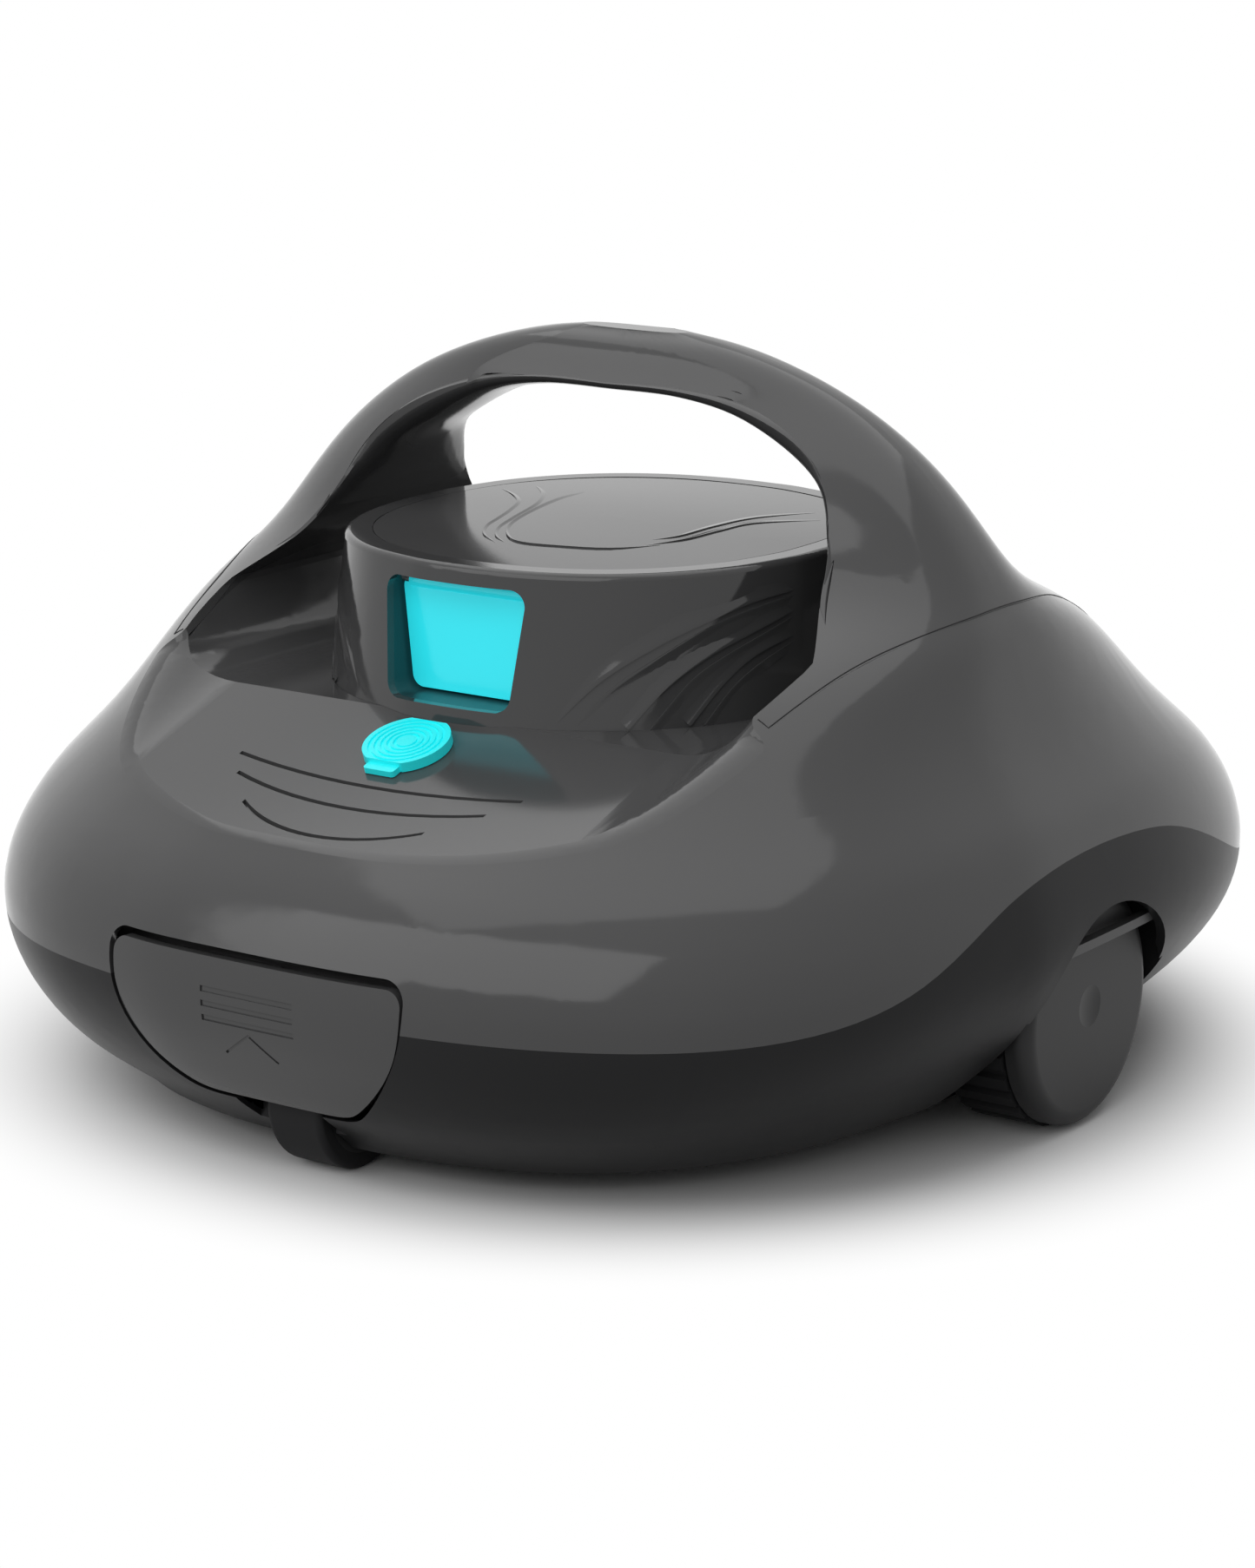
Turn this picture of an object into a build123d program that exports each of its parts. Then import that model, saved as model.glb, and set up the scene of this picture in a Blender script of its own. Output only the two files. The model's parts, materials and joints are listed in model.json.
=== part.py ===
from build123d import *
import math
import os

# Cordless two-way pool cleaner. Millimetres, +Z up, front towards -Y.
# Origin: on the pool floor, under the middle of the body.

# ---------------------------------------------------------------- driving sizes
# Outer body: level, half width, half length of each horizontal section.
BODY_SECTIONS = [
    (9, 130, 160), (22, 147, 176), (40, 164, 189), (62, 171.5, 192),
    (80, 168, 186), (96, 161, 169), (110, 150, 152), (124, 141.5, 136),
    (137, 137, 114), (151, 131.5, 76), (166, 123, 47),
]
PLAN_POWER = 2.6          # 2 is an ellipse, more is squarer
WALL = 3.0                # moulded wall of the body shells
FIT = 0.3                 # gap between pieces that move past each other
PIN_FIT = 0.05            # radial running clearance on pins and shafts

# Deck between the handle legs
DECK_Z = 122.0            # flat deck under the jet tower
DECK_FLAT = 97.0          # half length of that flat
DECK_SLOPE = 0.344        # fall of the deck towards its rim
DECK_HALF = 80.0          # half width of the flat part of the channel
CHANNEL_HALF = 107.0      # half width between the legs at deck level
CHANNEL_RISE = 22.0       # height of the hollow that joins deck and leg
RIM_RADIUS = 12.0         # soft edge where the deck meets the front

# Handle
OPENING_TOP = 210.0       # underside of the grip
ARCH_FOOT_Z = 146.0       # where the upright walls turn into the arch
HANDLE_SEAM_TOP = 153.5   # joint between handle and upper shell, at mid length
HANDLE_SEAM_DROP = 21.5   # its fall towards the leg tips
LEG_TIP_Y = 92.0
HANDLE_WEB = 4.0          # web that closes each leg stump under the handle
LINER_THICK = 1.6
LINER_INSET = 2.6
LINER_GAP = 0.3

# Joint between upper shell and base
BASE_SEAM_LOW = 56.0
BASE_SEAM_RISE = 31.0     # it arches over the wheels
BASE_SEAM_HALF = 88.0

# Jet tower
TOWER_Y = -11.0
TOWER_TOP_Z = 167.0
TOWER_TOP = (77.0, 83.5)
TOWER_BASE = (81.0, 89.0)
TOWER_POWER = 2.25
TOWER_WALL = 3.0
TOWER_ROOF = 4.0
TOWER_FLANGE = 5.0
TOWER_RIM_R = 2.0
LID_CROWN = 1.2
LID_SHARE = 0.9
LID_THICK = 2.5

# Outlet windows and their flaps
WINDOW_TOP_Z = 161.5
WINDOW_BOTTOM_Z = 125.5
WINDOW_TOP_HALF = 25.7
WINDOW_BOTTOM_HALF = 22.0
WINDOW_CORNER = 5.0
FLAP_SETBACK = 73.0       # flap plane, from the tower axis
FLAP_THICK = 2.6
FLAP_GAP = 1.0
FLAP_PIN_D = 3.0
DUCT_WALL = 2.0

# Pump
TUBE_R = 35.0             # bore of the intake tube
TUBE_WALL = 2.5
EYE_R = 30.0              # inlet eye of the volute
VOLUTE_R = 32.0
VOLUTE_ROOF_Z = 150.0
IMPELLER_R = 29.0
IMPELLER_Z = (127.0, 146.0)
BLADES = 7
SHAFT_D = 4.0
SHAFT_LOW_Z = 98.0
HUB_R = 7.0
BACK_PLATE = 2.0
BLADE_THICK = 1.8
POD_R = 21.0
POD_Z = (72.0, 112.0)
POD_WALL = 3.0
MOTOR_R = 18.3
MOTOR_SEAT = 2.0
CAP_DOME = 12.0
VANE_THICK = 2.0
VANES = 3

# Separator between the dry upper bay and the filter bay
SEPARATOR_Z = 58.0
SEPARATOR_THICK = 3.0

# Dry-bay boxes: half width, front and rear ends, height
BATTERY_BOX = (70.0, 80.0, 146.0, 23.0)
CONTROL_BOX = (45.0, -146.0, -98.0, 23.0)
HOUSING_WALL = 2.0
CELL_R = 9.15
CELL_LENGTH = 65.0

# Wheels
WHEEL_R = 37.5
WHEEL_FACE_X = 163.0
WHEEL_WIDTH = 30.0
WHEEL_WELL_GAP = 4.0
TYRE_DEPTH = 6.0
LUGS = 30
LUG_HEIGHT = 1.6
COVER_THICK = 8.0
HUB_BOSS_R = 10.0
HUB_SPOKES = 6
AXLE_D = 8.0
AXLE_END_GAP = 0.7
CLIP_THICK = 1.2
CLIP_R = 6.5
ARCH_TOP_Z = 70.0

# Rollers
ROLLER_R = 21.0
ROLLER_WIDTH = 20.0
ROLLER_Y = 150.7
ROLLER_GAP = 1.8
ROLLER_PIN_D = 4.0
ROLLER_TREAD = 5.0

# Latch panels
LATCH_TOP_Z = 69.0
LATCH_BOTTOM_Z = 25.0
LATCH_HALF = 51.7
LATCH_CORNER = 5.0
LATCH_GAP = 1.3
LATCH_THICK = 3.0
LATCH_POCKET = 12.5
LATCH_TOP_GAP = 3.0
LATCH_REBATE = 3.5        # hidden room round the latch, behind the skin
LATCH_SKIN = 2.4
LATCH_PIN_D = 3.0
LATCH_SET = 0.6           # its face lies this far under the body form
LATCH_BARREL_R = 2.6
LATCH_KNUCKLES = [(-40, -28), (-6, 6), (28, 40)]
MARK_BARS = 3
MARK_TOP_Z = 60.5
MARK_PITCH = 4.3
MARK_BAR = 1.8
MARK_HALF = 16.5
MARK_DEPTH = 0.5
ARROW_TOP_Z = 48.5
ARROW_ARM = 12.0
ARROW_TILT = 36.0
ARROW_LINE = 0.7

# Suction mouth in the underside
MOUTH_HALF_X = 68.0
MOUTH_HALF_Y = 24.0
MOUTH_LIP = 5.0
MOUTH_FLAP_THICK = 1.6
MOUTH_FLANGE = 6.0
MOUTH_SEAT = 3.0          # ledge at each end that the flaps rest on
INLET_PLATE = 2.0
INLET_PIN_R = 1.0
BASE_FLOOR = 3.0

# Filter basket
BASKET_HALF_X = 96.0
BASKET_HALF_Y = 66.0
BASKET_WALL = 2.0
BASKET_TOP_Z = 56.0
BASKET_POST = 6.0
BASKET_WINDOWS_X = 4
BASKET_WINDOWS_Y = 3
MESH_THICK = 0.6

# Charge cap on the front deck
CAP_Y = -115.5
CAP_R = 13.2
CAP_FLAT = 11.6
CAP_THICK = 3.0
CAP_PLUG_R = 9.7
CAP_PLUG = 4.0
CAP_RINGS = 5
CAP_RING_PITCH = 1.9
CAP_RING_DEPTH = 0.6
CAP_TAB_HALF = 5.5
CAP_TAB = 3.5
SOCKET_R = 12.0
SOCKET_LOW = -12.0        # depths below the deck, square to it
PEDESTAL_TOP = -5.5
PEDESTAL_X = -4.0
PEDESTAL_R = 4.0
CONTACT_X = (-5.8, -2.2)
CONTACT_R = 0.8
BUTTON_X = 5.0
BUTTON_R = 2.6
BUTTON_LOW = -8.0

BASE_Z = BODY_SECTIONS[0][0]
FAR = 230.0               # beyond the object in every direction
ENDS = (("front", -1), ("rear", 1))
SIDES = (("left", -1), ("right", 1))
parts = {}


# ---------------------------------------------------------------- small helpers
def box(x0, x1, y0, y1, z0, z1):
    """Box between two corners."""
    size = (x1 - x0, y1 - y0, z1 - z0)
    return Pos((x0 + x1) / 2, (y0 + y1) / 2, (z0 + z1) / 2) * Box(*size)


def rod(radius, start, end):
    """Round bar from one point to another."""
    axis = Vector(*end) - Vector(*start)
    return Solid.make_cylinder(radius, axis.length, Plane(origin=start, z_dir=axis))


def mirror_y(shape):
    return shape.mirror(Plane.XZ)


def at_end(shape, sign):
    """A shape made for the front, or its mirror image for the rear."""
    return shape if sign < 0 else mirror_y(shape)


def at_side(shape, sign):
    """A shape made for the right, or its mirror image for the left."""
    return shape if sign > 0 else shape.mirror(Plane.YZ)


def squared_ellipse(half_x, half_y, z, power, y_mid=0.0, count=8):
    """Closed horizontal outline, squarer than an ellipse, as four equal quarters."""
    def quarter(sign_x, sign_y):
        points = []
        for k in range(count + 1):
            c = math.cos(math.pi / 2 * k / count) ** (2 / power) if k < count else 0.0
            s = math.sin(math.pi / 2 * k / count) ** (2 / power)
            points.append(Vector(sign_x * half_x * c, y_mid + sign_y * half_y * s, z))
        along_y, along_x = Vector(0, sign_y, 0), Vector(-sign_x, 0, 0)
        if sign_x * sign_y > 0:
            return Edge.make_spline(points, tangents=[along_y, along_x])
        return Edge.make_spline(points[::-1], tangents=[-1 * along_x, -1 * along_y])
    return Wire([quarter(1, 1), quarter(-1, 1), quarter(-1, -1), quarter(1, -1)])


# ---------------------------------------------------------------- body envelope
def body_form(inset=0.0):
    """Outer form of the body below the handle, drawn in by an inset."""
    outlines = []
    for z, half_x, half_y in BODY_SECTIONS:
        outlines.append(squared_ellipse(half_x - inset, half_y - inset, z, PLAN_POWER))
    return Solid.make_loft(outlines)


def deck_level(y):
    return DECK_Z - DECK_SLOPE * max(0.0, abs(y) - DECK_FLAT)


def arch_points(grow=0.0):
    """Inner line of the handle from its foot to the flat under the grip, as (x, z)."""
    half, top = CHANNEL_HALF + grow, OPENING_TOP + grow
    return [(half, ARCH_FOOT_Z), (half - 12, 160), (half - 17, 174), (half - 23.5, 188),
            (half - 37, top - 11 - grow / 2), (half - 59, top - 3), (half - 82, top)]


def channel_outline(y, grow):
    """Cross-section of the space between the legs, at one station along Y."""
    floor = deck_level(y) - grow
    rise = floor + CHANNEL_RISE
    half = CHANNEL_HALF + grow

    def point(x, z):
        return Vector(x, y, z)

    def flank(side):
        hollow = Edge.make_spline(
            [point(side * (DECK_HALF + grow), floor),
             point(side * (half - 8), floor + 6),
             point(side * half, rise)],
            tangents=[Vector(side, 0, 0), Vector(side * 0.25, 0, 1)])
        wall = Edge.make_line(point(side * half, rise), point(side * half, ARCH_FOOT_Z))
        arch = Edge.make_spline([point(side * x, z) for x, z in arch_points(grow)],
                                tangents=[Vector(-side * 0.8, 0, 1), Vector(-side, 0, 0)])
        return [hollow, wall, arch]

    right, left = flank(1), flank(-1)
    top_half = arch_points(grow)[-1][0]
    top = Edge.make_line(point(top_half, OPENING_TOP + grow),
                         point(-top_half, OPENING_TOP + grow))
    bottom = Edge.make_line(point(-DECK_HALF - grow, floor), point(DECK_HALF + grow, floor))
    return Wire([bottom] + right + [top] + left[::-1])


def channel(grow=0.0):
    """Space between the legs: the deck is its floor."""
    stations = (-FAR, -DECK_FLAT, DECK_FLAT, FAR)
    return Solid.make_loft([channel_outline(y, grow) for y in stations], ruled=True)


def side_prism(points, top):
    """Everything under (or over) a curve in the side view, across the body."""
    curve = Edge.make_spline([Vector(0, y, z) for y, z in points])
    a, b = curve @ 0, curve @ 1
    far_z = FAR + 60 if top else -20
    rest = Wire.make_polygon(
        [Vector(0, b.Y, b.Z), Vector(0, b.Y, far_z), Vector(0, a.Y, far_z), Vector(0, a.Y, a.Z)],
        close=False)
    face = Face(Wire([curve] + rest.edges()))
    return Pos(-FAR, 0, 0) * Solid.extrude(face, Vector(2 * FAR, 0, 0))


def base_seam(y):
    return BASE_SEAM_LOW + BASE_SEAM_RISE * math.exp(-(abs(y) / BASE_SEAM_HALF) ** 3)


def handle_seam(y):
    return HANDLE_SEAM_TOP - HANDLE_SEAM_DROP * (y / LEG_TIP_Y) ** 2


SEAM_STATIONS = [-FAR, -150, -120, -95, -70, -45, -20, 20, 45, 70, 95, 120, 150, FAR]
under_base_seam = side_prism([(y, base_seam(y)) for y in SEAM_STATIONS], top=False)
SEAM_SHARES = (-1, -0.65, -0.32, 0, 0.32, 0.65, 1)
WEB_END_Y = LEG_TIP_Y + HANDLE_WEB
over_handle_seam = side_prism([(k * LEG_TIP_Y, handle_seam(k * LEG_TIP_Y)) for k in SEAM_SHARES],
                              top=True)
over_web = side_prism([(k * WEB_END_Y, handle_seam(k * WEB_END_Y) - HANDLE_WEB)
                       for k in SEAM_SHARES], top=True)


def softened(body):
    """Rounds the edge where the deck channel breaks out of the body, all the way round."""
    def is_flank(edge):
        c = edge.center()
        return 85 < abs(c.X) < 104 and 112 < abs(c.Y) < 135 and 105 < c.Z < 128
    return body.fillet(RIM_RADIUS, [e for e in body.edges() if is_flank(e)])


envelope = body_form()
inner_envelope = body_form(WALL)
channel_space = channel()
full_body = softened(envelope - channel_space)
cavity = inner_envelope - channel(WALL)


# ---------------------------------------------------------------- tools that shape the base
def wheel_well(grow=0.0):
    """Room for the right wheel, with the bell-shaped arch in the side wall."""
    radius = WHEEL_R + WHEEL_WELL_GAP + grow
    inner_x = WHEEL_FACE_X - WHEEL_WIDTH - WHEEL_WELL_GAP - grow
    well = rod(radius, (inner_x, 0, WHEEL_R), (WHEEL_FACE_X + 2, 0, WHEEL_R))
    well += box(inner_x, WHEEL_FACE_X + 2, -radius, radius, -1, WHEEL_R)
    return well


def wheel_arch():
    """The side wall hides the top of the wheel, so its arch sits lower than the well."""
    radius = WHEEL_R + WHEEL_WELL_GAP
    level = ARCH_TOP_Z - radius
    arch = rod(radius, (WHEEL_FACE_X - 4, 0, level), (FAR, 0, level))
    return arch + box(WHEEL_FACE_X - 4, FAR, -radius, radius, -1, level)


def roller_slot(grow=0.0):
    """Room for the front roller, open below and in front."""
    half = ROLLER_WIDTH / 2 + ROLLER_GAP + grow
    radius = ROLLER_R + ROLLER_GAP + grow
    slot = rod(radius, (-half, -ROLLER_Y, ROLLER_R), (half, -ROLLER_Y, ROLLER_R))
    slot += box(-half, half, -ROLLER_Y - radius, -ROLLER_Y + radius, -1, ROLLER_R)
    return slot


def latch_outline(grow=0.0, top_grow=0.0):
    """Front outline of the latch panel: straight top, sides that round into the foot."""
    half = LATCH_HALF + grow
    top, bottom = LATCH_TOP_Z + max(grow, top_grow), LATCH_BOTTOM_Z - grow
    shoulder = LATCH_TOP_Z + grow - LATCH_CORNER
    turn_x = half - (top - shoulder)
    top_edge = Edge.make_line(Vector(-turn_x, 0, top), Vector(turn_x, 0, top))

    def flank(side):
        corner = Edge.make_tangent_arc(
            Vector(side * turn_x, 0, top), Vector(side, 0, 0), Vector(side * half, 0, shoulder))
        curve = Edge.make_spline(
            [Vector(side * half, 0, shoulder), Vector(side * (half - 3.5), 0, shoulder - 17),
             Vector(side * (half - 21), 0, bottom + 3.2), Vector(side * (half - 34), 0, bottom)],
            tangents=[Vector(0, 0, -1), Vector(-side, 0, 0)])
        return [corner, curve]
    foot = Edge.make_line(Vector(half - 34, 0, bottom), Vector(-half + 34, 0, bottom))
    return Wire([top_edge] + flank(1) + [foot] + flank(-1)[::-1])


def latch_block(grow=0.0, top_grow=0.0):
    """The latch outline carried straight through the front of the body."""
    face = Face(latch_outline(grow, top_grow))
    block = Solid.extrude(face, Vector(0, -60, 0))
    return Pos(0, -150, 0) * block


latch_room = latch_block(LATCH_GAP, LATCH_TOP_GAP)
latch_room += latch_block(LATCH_GAP + LATCH_REBATE) & body_form(LATCH_SKIN)
latch_pocket = latch_room - body_form(LATCH_POCKET)
latch_wall = box(-LATCH_HALF - 8, LATCH_HALF + 8, -FAR, -170, BASE_Z + 8, LATCH_TOP_Z + 8)
pockets = [at_end(latch_pocket, s) for _, s in ENDS]
pocket_walls = [at_end(latch_wall, s) for _, s in ENDS]


# ---------------------------------------------------------------- base and upper shell
deck_under = BASE_Z + BASE_FLOOR
wells = [at_side(wheel_well(), s) for _, s in SIDES]
well_walls = [at_side(wheel_well(WALL), s) for _, s in SIDES]
arches = [at_side(wheel_arch(), s) for _, s in SIDES]
slots = [at_end(roller_slot(), s) for _, s in ENDS]
slot_walls = [at_end(roller_slot(WALL), s) for _, s in ENDS]
bay = inner_envelope - box(-FAR, FAR, -FAR, FAR, 0, deck_under)
for solid in well_walls + slot_walls + pocket_walls:
    bay -= solid


def finger_notch():
    """Notch under the latch panel, where a finger lifts it."""
    half = ROLLER_WIDTH / 2 + ROLLER_GAP + 4
    return box(-half, half, -FAR, -ROLLER_Y - 16, -1, LATCH_BOTTOM_Z + 1)


MOUTH_WALL = 2.0
mouth_throat = box(-MOUTH_HALF_X - MOUTH_WALL, MOUTH_HALF_X + MOUTH_WALL,
                   -MOUTH_HALF_Y - MOUTH_WALL, MOUTH_HALF_Y + MOUTH_WALL, 0, 30)


AXLE_IN_X = WHEEL_FACE_X - WHEEL_WIDTH - WHEEL_WELL_GAP - WALL - 12
AXLE_OUT_X = WHEEL_FACE_X - COVER_THICK - AXLE_END_GAP


def lower_base():
    base = (envelope & under_base_seam) - bay
    for sign in (-1, 1):
        boss = rod(9, (AXLE_IN_X, 0, WHEEL_R), (AXLE_IN_X + 13, 0, WHEEL_R))
        base += at_side(boss, sign)
    for solid in wells + arches + slots + pockets:
        base -= solid
    for sign in (-1, 1):
        base -= at_end(finger_notch(), sign)
        base -= at_side(rod(AXLE_D / 2, (AXLE_IN_X, 0, WHEEL_R), (AXLE_OUT_X, 0, WHEEL_R)), sign)
        base -= at_end(roller_pin(), sign)
    return base - mouth_throat


def roller_pin():
    half = ROLLER_WIDTH / 2 + ROLLER_GAP + WALL
    return rod(ROLLER_PIN_D / 2, (-half, -ROLLER_Y, ROLLER_R), (half, -ROLLER_Y, ROLLER_R))


# Grooves in the deck: half length, distance from the middle at the ends, bulge, width
DECK_GROOVES = [(51.3, 129.9, 5.5, 1.5), (44.9, 139.0, 7.5, 1.5), (32.6, 151.4, 9.8, 1.5)]
GROOVE_DEPTH = 1.4


def deck_groove(half, reach, bulge, width):
    """A thin curved groove that bows towards the rim."""
    def arc(shift):
        return Edge.make_three_point_arc(
            Vector(-half, -reach - shift, 0), Vector(0, -reach - bulge - shift, 0),
            Vector(half, -reach - shift, 0))
    near, far = arc(-width / 2), arc(width / 2)
    ends = [Edge.make_line(near @ 1, far @ 1), Edge.make_line(far @ 0, near @ 0)]
    prism = Solid.extrude(Face(Wire([near, far] + ends)), Vector(0, 0, 200))
    return prism & channel(GROOVE_DEPTH)


def tower_form(inset, z0, z1):
    """Tapering outer form of the jet tower between two levels."""
    outlines = []
    for z in (z0, z1):
        share = (z - DECK_Z + 4) / (TOWER_TOP_Z - DECK_Z + 4)
        half_x = TOWER_BASE[0] + (TOWER_TOP[0] - TOWER_BASE[0]) * share - inset
        half_y = TOWER_BASE[1] + (TOWER_TOP[1] - TOWER_BASE[1]) * share - inset
        outlines.append(squared_ellipse(half_x, half_y, z, TOWER_POWER, TOWER_Y))
    return Solid.make_loft(outlines, ruled=True)


deck_angle = math.degrees(math.atan(DECK_SLOPE))
cap_plane = Plane(origin=(0, CAP_Y, deck_level(CAP_Y)), x_dir=(1, 0, 0),
                  z_dir=(0, -math.sin(math.radians(deck_angle)),
                         math.cos(math.radians(deck_angle))))
CAP_HOLE_R = CAP_PLUG_R + FIT


def on_deck(shape):
    """Places a shape drawn about the charge cap's own axis."""
    return cap_plane.location * shape


def disc(radius, z0, z1, x=0.0, y=0.0):
    return Pos(x, y, (z0 + z1) / 2) * Cylinder(radius, z1 - z0)


HANDLE_SCREWS = [(x, y) for x in (-117, 117) for y in (-20, 20)]
SCREW_R = 1.7
SCREW_HEAD_R = 3.5
SCREW_HEAD = 2.5
HANDLE_SCREW_TOP = 159.0
FLANGE_Z = (113.0, 116.0)
TOWER_SCREW_ANGLES = [k * 60 for k in range(6)]
TOWER_SCREW_R = 1.5
TOWER_SCREW_TOP = DECK_Z - 1.2


def tower_screw_points():
    """Middle of the tower's flange, at equal steps round it."""
    for angle in TOWER_SCREW_ANGLES:
        t = math.radians(angle)
        c, s = math.cos(t), math.sin(t)
        x = (TOWER_BASE[0] + TOWER_FLANGE / 2) * math.copysign(abs(c) ** (2 / TOWER_POWER), c)
        y = (TOWER_BASE[1] + TOWER_FLANGE / 2) * math.copysign(abs(s) ** (2 / TOWER_POWER), s)
        yield x, TOWER_Y + y


LATCH_PIVOT = (-183.2, LATCH_TOP_Z - 4)


def latch_pin():
    y, z = LATCH_PIVOT
    return rod(LATCH_PIN_D / 2, (-55, y, z), (55, y, z))


def upper_shell():
    shell = full_body - under_base_seam - over_handle_seam
    room = cavity - over_web
    for wall in pocket_walls:
        room -= wall
    shell -= room
    for solid in pockets:
        shell -= solid
    shell -= tower_form(-FIT / 2, FLANGE_Z[0], DECK_Z + 8)
    for half, reach, bulge, width in DECK_GROOVES:
        groove = deck_groove(half, reach, bulge, width)
        shell = shell - groove - mirror_y(groove)
    shell -= on_deck(disc(CAP_HOLE_R, -8, 4))
    for x, y in HANDLE_SCREWS:
        shell -= disc(SCREW_R, 100, 200, x, y)
    for x, y in tower_screw_points():
        shell -= disc(TOWER_SCREW_R, FLANGE_Z[0], TOWER_SCREW_TOP, x, y)
    for _, sign in ENDS:
        shell -= at_end(latch_pin(), sign)
    for solid in wells:
        shell -= solid
    return shell


# ---------------------------------------------------------------- handle
# Levels above the body sections: half width and half length of the dome over the handle
DOME_SECTIONS = [
    (182, 111, 36.5), (197.5, 95, 25.5), (209.5, 76, 16.5),
    (217.5, 56, 12.5), (222.5, 37, 8.5), (225.2, 19, 4.5),
]


def dome_form():
    """The body form carried on up over the grip."""
    sections = BODY_SECTIONS + DOME_SECTIONS
    return Solid.make_loft([squared_ellipse(*section[1:], section[0], PLAN_POWER)
                            for section in sections])


def section_depth(x, z):
    """Half length of the dome at one place along X and one level."""
    rows = BODY_SECTIONS + DOME_SECTIONS
    for low, high in zip(rows, rows[1:]):
        if low[0] <= z <= high[0]:
            share = (z - low[0]) / (high[0] - low[0])
            half_x = low[1] + (high[1] - low[1]) * share
            half_y = low[2] + (high[2] - low[2]) * share
            return half_y * max(0.0, 1 - (x / half_x) ** PLAN_POWER) ** (1 / PLAN_POWER)
    raise ValueError("level outside the dome")


def lining_width(inset):
    """Prism along X as wide as the handle's inner face, drawn in by an inset."""
    seam_end = (CHANNEL_HALF - 5, HANDLE_SEAM_TOP - HANDLE_SEAM_DROP)
    edge_points = [(section_depth(x, z) - inset, z) for x, z in [seam_end] + arch_points()]
    top_y = edge_points[-1][0]
    front = Edge.make_spline([Vector(0, -y, z) for y, z in edge_points])
    rear = Edge.make_spline([Vector(0, y, z) for y, z in edge_points])
    crown_z = OPENING_TOP + 2 * LINER_THICK
    crown = Wire.make_polygon([front @ 1, Vector(0, -top_y, crown_z), Vector(0, top_y, crown_z),
                               rear @ 1], close=False)
    sill = Edge.make_line(rear @ 0, front @ 0)
    face = Face(Wire([front] + crown.edges() + [rear, sill]))
    return Pos(-FAR, 0, 0) * Solid.extrude(face, Vector(2 * FAR, 0, 0))


def handle_lining(depth, inset):
    """Layer of the handle next to its opening, drawn in from the front and rear edges."""
    layer = channel(depth) - channel(-FIT)
    return layer & lining_width(inset) & over_handle_seam


def handle_shell():
    shell = (dome_form() - channel_space) & over_handle_seam
    shell -= handle_lining(LINER_THICK + LINER_GAP, LINER_INSET - LINER_GAP)
    for x, y in HANDLE_SCREWS:
        shell -= disc(SCREW_R, 120, HANDLE_SCREW_TOP, x, y)
    return shell


def handle_liner():
    pieces = (handle_lining(LINER_THICK, LINER_INSET) - channel_space).solids()
    return max(pieces, key=lambda solid: solid.volume)


def handle_screws():
    """Screws driven up through the leg stumps into the handle."""
    screws = []
    for x, y in HANDLE_SCREWS:
        head_z = handle_seam(abs(y) + SCREW_HEAD_R) - HANDLE_WEB
        screw = disc(SCREW_HEAD_R, head_z - SCREW_HEAD, head_z, x, y)
        screws.append(screw + disc(SCREW_R, head_z, HANDLE_SCREW_TOP, x, y))
    return Compound(screws)


# ---------------------------------------------------------------- jet tower
def at_jet(shape, sign):
    """A shape made for the front outlet, or its mirror image for the rear one."""
    return shape if sign < 0 else Pos(0, 2 * TOWER_Y, 0) * mirror_y(shape)


def window_prism(y0, y1, grow=0.0):
    """The tapering outlet window carried along Y."""
    top, bottom = WINDOW_TOP_HALF + grow, WINDOW_BOTTOM_HALF + grow
    high, low = WINDOW_TOP_Z + grow, WINDOW_BOTTOM_Z - grow
    corners = [Vector(-bottom, y0, low), Vector(bottom, y0, low),
               Vector(top, y0, high), Vector(-top, y0, high)]
    face = Face(Wire.make_polygon(corners, close=True))
    face = face.fillet_2d(WINDOW_CORNER + grow, face.vertices())
    return Solid.extrude(face, Vector(0, y1 - y0, 0))


def lid_outline(shrink, z):
    return squared_ellipse(TOWER_TOP[0] * LID_SHARE - shrink, TOWER_TOP[1] * LID_SHARE - shrink,
                           z, TOWER_POWER, TOWER_Y)


def lid_prism(shrink, z0, z1):
    return Solid.extrude(Face(lid_outline(shrink, z0)), Vector(0, 0, z1 - z0))


ROOF_Z = TOWER_TOP_Z - TOWER_ROOF
LID_Z = TOWER_TOP_Z - 1.5
WINDOW_REACH = (TOWER_Y - 110, TOWER_Y - 60)


def jet_tower():
    tower = tower_form(0, FLANGE_Z[0], TOWER_TOP_Z)
    rim = [e for e in tower.edges() if e.center().Z > TOWER_TOP_Z - 0.1]
    tower = tower.fillet(TOWER_RIM_R, rim)
    tower += tower_form(-TOWER_FLANGE, *FLANGE_Z)
    tower -= tower_form(TOWER_WALL, FLANGE_Z[0], ROOF_Z)
    tower -= lid_prism(0, LID_Z, TOWER_TOP_Z + 5)
    for _, sign in ENDS:
        tower -= at_jet(window_prism(*WINDOW_REACH), sign)
    tower -= on_deck(disc(SOCKET_R + FIT, -16, 0))
    for x, y in tower_screw_points():
        tower -= disc(TOWER_SCREW_R, FLANGE_Z[0] - 1, FLANGE_Z[1] + 1, x, y)
    return tower


def tower_lid():
    lid = lid_prism(FIT, LID_Z, LID_Z + LID_THICK + 2)
    crown_r = TOWER_TOP[0] ** 2 / (2 * LID_CROWN)
    return lid & Pos(0, TOWER_Y, LID_Z + LID_THICK - crown_r) * Sphere(crown_r)


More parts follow.
